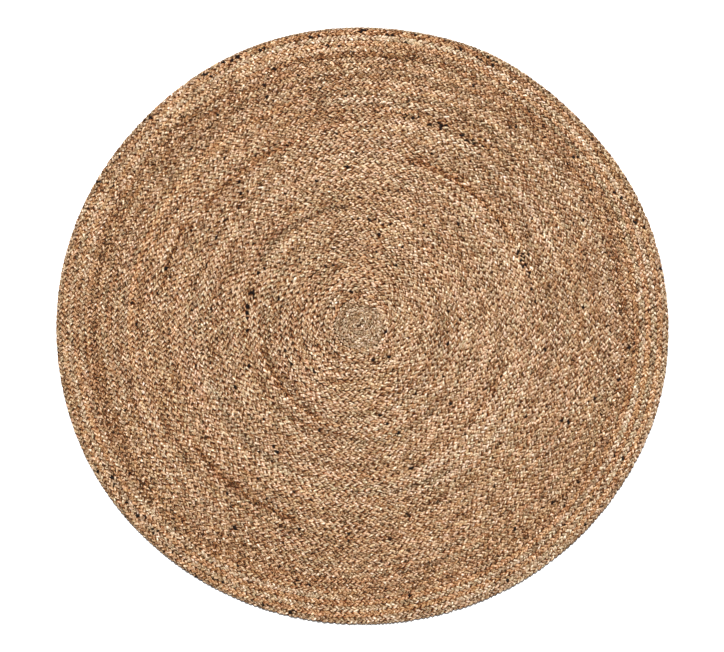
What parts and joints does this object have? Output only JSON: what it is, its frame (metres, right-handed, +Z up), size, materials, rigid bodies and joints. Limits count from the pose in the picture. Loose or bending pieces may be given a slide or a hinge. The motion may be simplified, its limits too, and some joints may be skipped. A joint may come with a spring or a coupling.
{
  "type": "round jute rug",
  "caption": "Flat round rug of plaited jute: a tan and a pale flat plait laid side by side, wound outward as a double spiral and sewn edge to edge.",
  "frame": {"origin": "middle of the rug's box on the floor, under the spiral's middle to within a few millimetres", "axes": "+Z up out of the floor, +X to the right along the rug's widest way, +Y away from the viewer's side, as seen from above"},
  "size_m": [1.4996, 1.4622, 0.009],
  "materials": {
    "jute": "dry, matt, hairy plaited jute in tan and pale beige with darker and paler strands"
  },
  "bodies": {
    "root": {"plaited_rug": "jute"}
  },
  "joints": []
}
